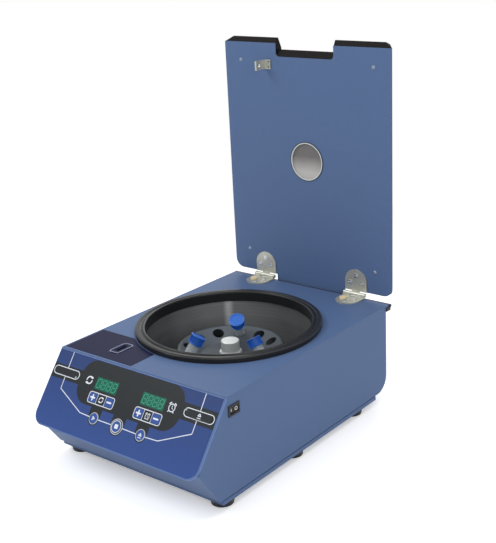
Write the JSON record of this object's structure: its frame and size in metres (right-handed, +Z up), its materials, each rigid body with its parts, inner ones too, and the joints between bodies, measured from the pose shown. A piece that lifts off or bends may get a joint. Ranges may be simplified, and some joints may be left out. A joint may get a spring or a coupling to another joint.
{
  "type": "bench-top tube centrifuge",
  "caption": "Low bench centrifuge with sloping key panel, round chamber, fixed-angle tube rotor and hinged lid standing open.",
  "frame": {"origin": "middle of the bounding box, on the table under the feet", "axes": "+X to the right seen from the panel, +Y from the panel to the hinges, +Z up"},
  "size_m": [0.303, 0.4686, 0.5386],
  "materials": {
    "blue_paint": "satin, fine texture",
    "panel_blue": "satin",
    "overlay_film": "satin printed film",
    "key_film": "satin printed film",
    "display_filter": "tinted",
    "black_plastic": "matte",
    "rubber_black": "matte",
    "label_film": "satin",
    "zinc": "zinc plated",
    "bowl_steel": "brushed",
    "rotor_alloy": "dark anodised",
    "bright_alloy": "turned",
    "motor_paint": "satin",
    "board_green": "solder mask",
    "lamp_lens": "clear lens",
    "tube_plastic": "clear polypropylene",
    "cap_blue": "matte moulded",
    "cream_plastic": "satin",
    "pane": "tinted clear",
    "steel_bright": "bright"
  },
  "bodies": {
    "housing": {"base_tray": "blue_paint", "side_sheet_left": "blue_paint", "side_sheet_right": "blue_paint", "rear_wall": "blue_paint", "front_wall": "blue_paint", "top_cover": "blue_paint", "rear_bumper": "rubber_black", "front_panel": "panel_blue", "panel_overlay": "overlay_film", "display_windows": "display_filter", "display_modules": "black_plastic", "control_board": "board_green", "panel_lamps": "lamp_lens", "deck_label": "label_film", "slot_bezel": "label_film", "lock_body": "zinc", "chamber_bowl": "bowl_steel", "chamber_gasket": "rubber_black", "motor": "motor_paint", "motor_boot": "rubber_black", "motor_plate": "zinc", "motor_dampers": "rubber_black", "power_board": "board_green", "switch_housing": "black_plastic", "power_inlet": "black_plastic", "inlet_pins": "steel_bright", "feet": "rubber_black", "foot_screws": "zinc", "hinge_deck_leaves": "zinc", "hinge_pins": "zinc", "hinge_deck_screws": "zinc", "hinge_pads": "cream_plastic"},
    "lid": {"lid_plate": "blue_paint", "lid_cover": "black_plastic", "lid_pane": "pane", "pane_ring": "steel_bright", "lid_rivets": "steel_bright", "striker": "zinc", "hinge_lid_leaves": "zinc", "hinge_lid_screws": "zinc"},
    "rotor": {"rotor": "rotor_alloy", "drive_shaft": "steel_bright"},
    "rotor_knob": {"rotor_knob": "bright_alloy"},
    "lock_bolt": {"lock_bolt": "steel_bright"},
    "switch_rocker": {"switch_rocker": "black_plastic"},
    "tube_a": {"tube_a": "tube_plastic"},
    "cap_a": {"cap_a": "cap_blue"},
    "tube_b": {"tube_b": "tube_plastic"},
    "cap_b": {"cap_b": "cap_blue"},
    "tube_c": {"tube_c": "tube_plastic"},
    "cap_c": {"cap_c": "cap_blue"},
    "key_speed_up": {"key_speed_up": "key_film"},
    "key_speed_down": {"key_speed_down": "key_film"},
    "key_time_up": {"key_time_up": "key_film"},
    "key_time_down": {"key_time_down": "key_film"},
    "key_left": {"key_left": "key_film"},
    "key_middle": {"key_middle": "key_film"},
    "key_right": {"key_right": "key_film"},
    "key_lid": {"key_lid": "key_film"}
  },
  "joints": [
    {"name": "lid_hinge", "type": "hinge", "parent": "housing", "child": "lid", "pos_m": [0, 0.21383, 0.1576], "axis": [-1, 0, 0], "range_deg": [-90, 0]},
    {"name": "rotor_spin", "type": "hinge", "parent": "housing", "child": "rotor", "pos_m": [0, 0.01703, 0.10898], "axis": [0, 0, 1], "continuous": true},
    {"name": "knob_turn", "type": "hinge", "parent": "rotor", "child": "rotor_knob", "pos_m": [0, 0.01703, 0.10898], "axis": [0, 0, 1], "continuous": true},
    {"name": "tube_a_lift", "type": "slide", "parent": "rotor", "child": "tube_a", "axis": [-0.5291, 0.0296, 0.848], "range_m": [0, 0.055]},
    {"name": "cap_a_turn", "type": "hinge", "parent": "tube_a", "child": "cap_a", "pos_m": [0.0624, 0.01354, 0.11789], "axis": [-0.5291, 0.0296, 0.848], "continuous": true},
    {"name": "tube_b_lift", "type": "slide", "parent": "rotor", "child": "tube_b", "axis": [0.2389, -0.473, 0.848], "range_m": [0, 0.055]},
    {"name": "cap_b_turn", "type": "hinge", "parent": "tube_b", "child": "cap_b", "pos_m": [-0.02818, 0.07282, 0.11789], "axis": [0.2389, -0.473, 0.848], "continuous": true},
    {"name": "tube_c_lift", "type": "slide", "parent": "rotor", "child": "tube_c", "axis": [0.2902, 0.4434, 0.848], "range_m": [0, 0.055]},
    {"name": "cap_c_turn", "type": "hinge", "parent": "tube_c", "child": "cap_c", "pos_m": [-0.03422, -0.03526, 0.11789], "axis": [0.2902, 0.4434, 0.848], "continuous": true},
    {"name": "key_speed_up_press", "type": "slide", "parent": "housing", "child": "key_speed_up", "axis": [0, 0.7944, -0.6074], "range_m": [0, 0.0005], "stiffness_N_per_m": 1500, "springref_m": -0.0004},
    {"name": "key_speed_down_press", "type": "slide", "parent": "housing", "child": "key_speed_down", "axis": [0, 0.7944, -0.6074], "range_m": [0, 0.0005], "stiffness_N_per_m": 1500, "springref_m": -0.0004},
    {"name": "key_time_up_press", "type": "slide", "parent": "housing", "child": "key_time_up", "axis": [0, 0.7944, -0.6074], "range_m": [0, 0.0005], "stiffness_N_per_m": 1500, "springref_m": -0.0004},
    {"name": "key_time_down_press", "type": "slide", "parent": "housing", "child": "key_time_down", "axis": [0, 0.7944, -0.6074], "range_m": [0, 0.0005], "stiffness_N_per_m": 1500, "springref_m": -0.0004},
    {"name": "key_left_press", "type": "slide", "parent": "housing", "child": "key_left", "axis": [0, 0.7944, -0.6074], "range_m": [0, 0.0005], "stiffness_N_per_m": 1500, "springref_m": -0.0004},
    {"name": "key_middle_press", "type": "slide", "parent": "housing", "child": "key_middle", "axis": [0, 0.7944, -0.6074], "range_m": [0, 0.0005], "stiffness_N_per_m": 1500, "springref_m": -0.0004},
    {"name": "key_right_press", "type": "slide", "parent": "housing", "child": "key_right", "axis": [0, 0.7944, -0.6074], "range_m": [0, 0.0005], "stiffness_N_per_m": 1500, "springref_m": -0.0004},
    {"name": "key_lid_press", "type": "slide", "parent": "housing", "child": "key_lid", "axis": [0, 0.7944, -0.6074], "range_m": [0, 0.0005], "stiffness_N_per_m": 1500, "springref_m": -0.0004},
    {"name": "lock_bolt_slide", "type": "slide", "parent": "housing", "child": "lock_bolt", "axis": [1, 0, 0], "range_m": [0, 0.008], "stiffness_N_per_m": 60, "springref_m": -0.004},
    {"name": "power_switch", "type": "hinge", "parent": "housing", "child": "switch_rocker", "pos_m": [0.1476, -0.15497, 0.1325], "axis": [0, 0, 1], "range_deg": [0, 12]}
  ]
}
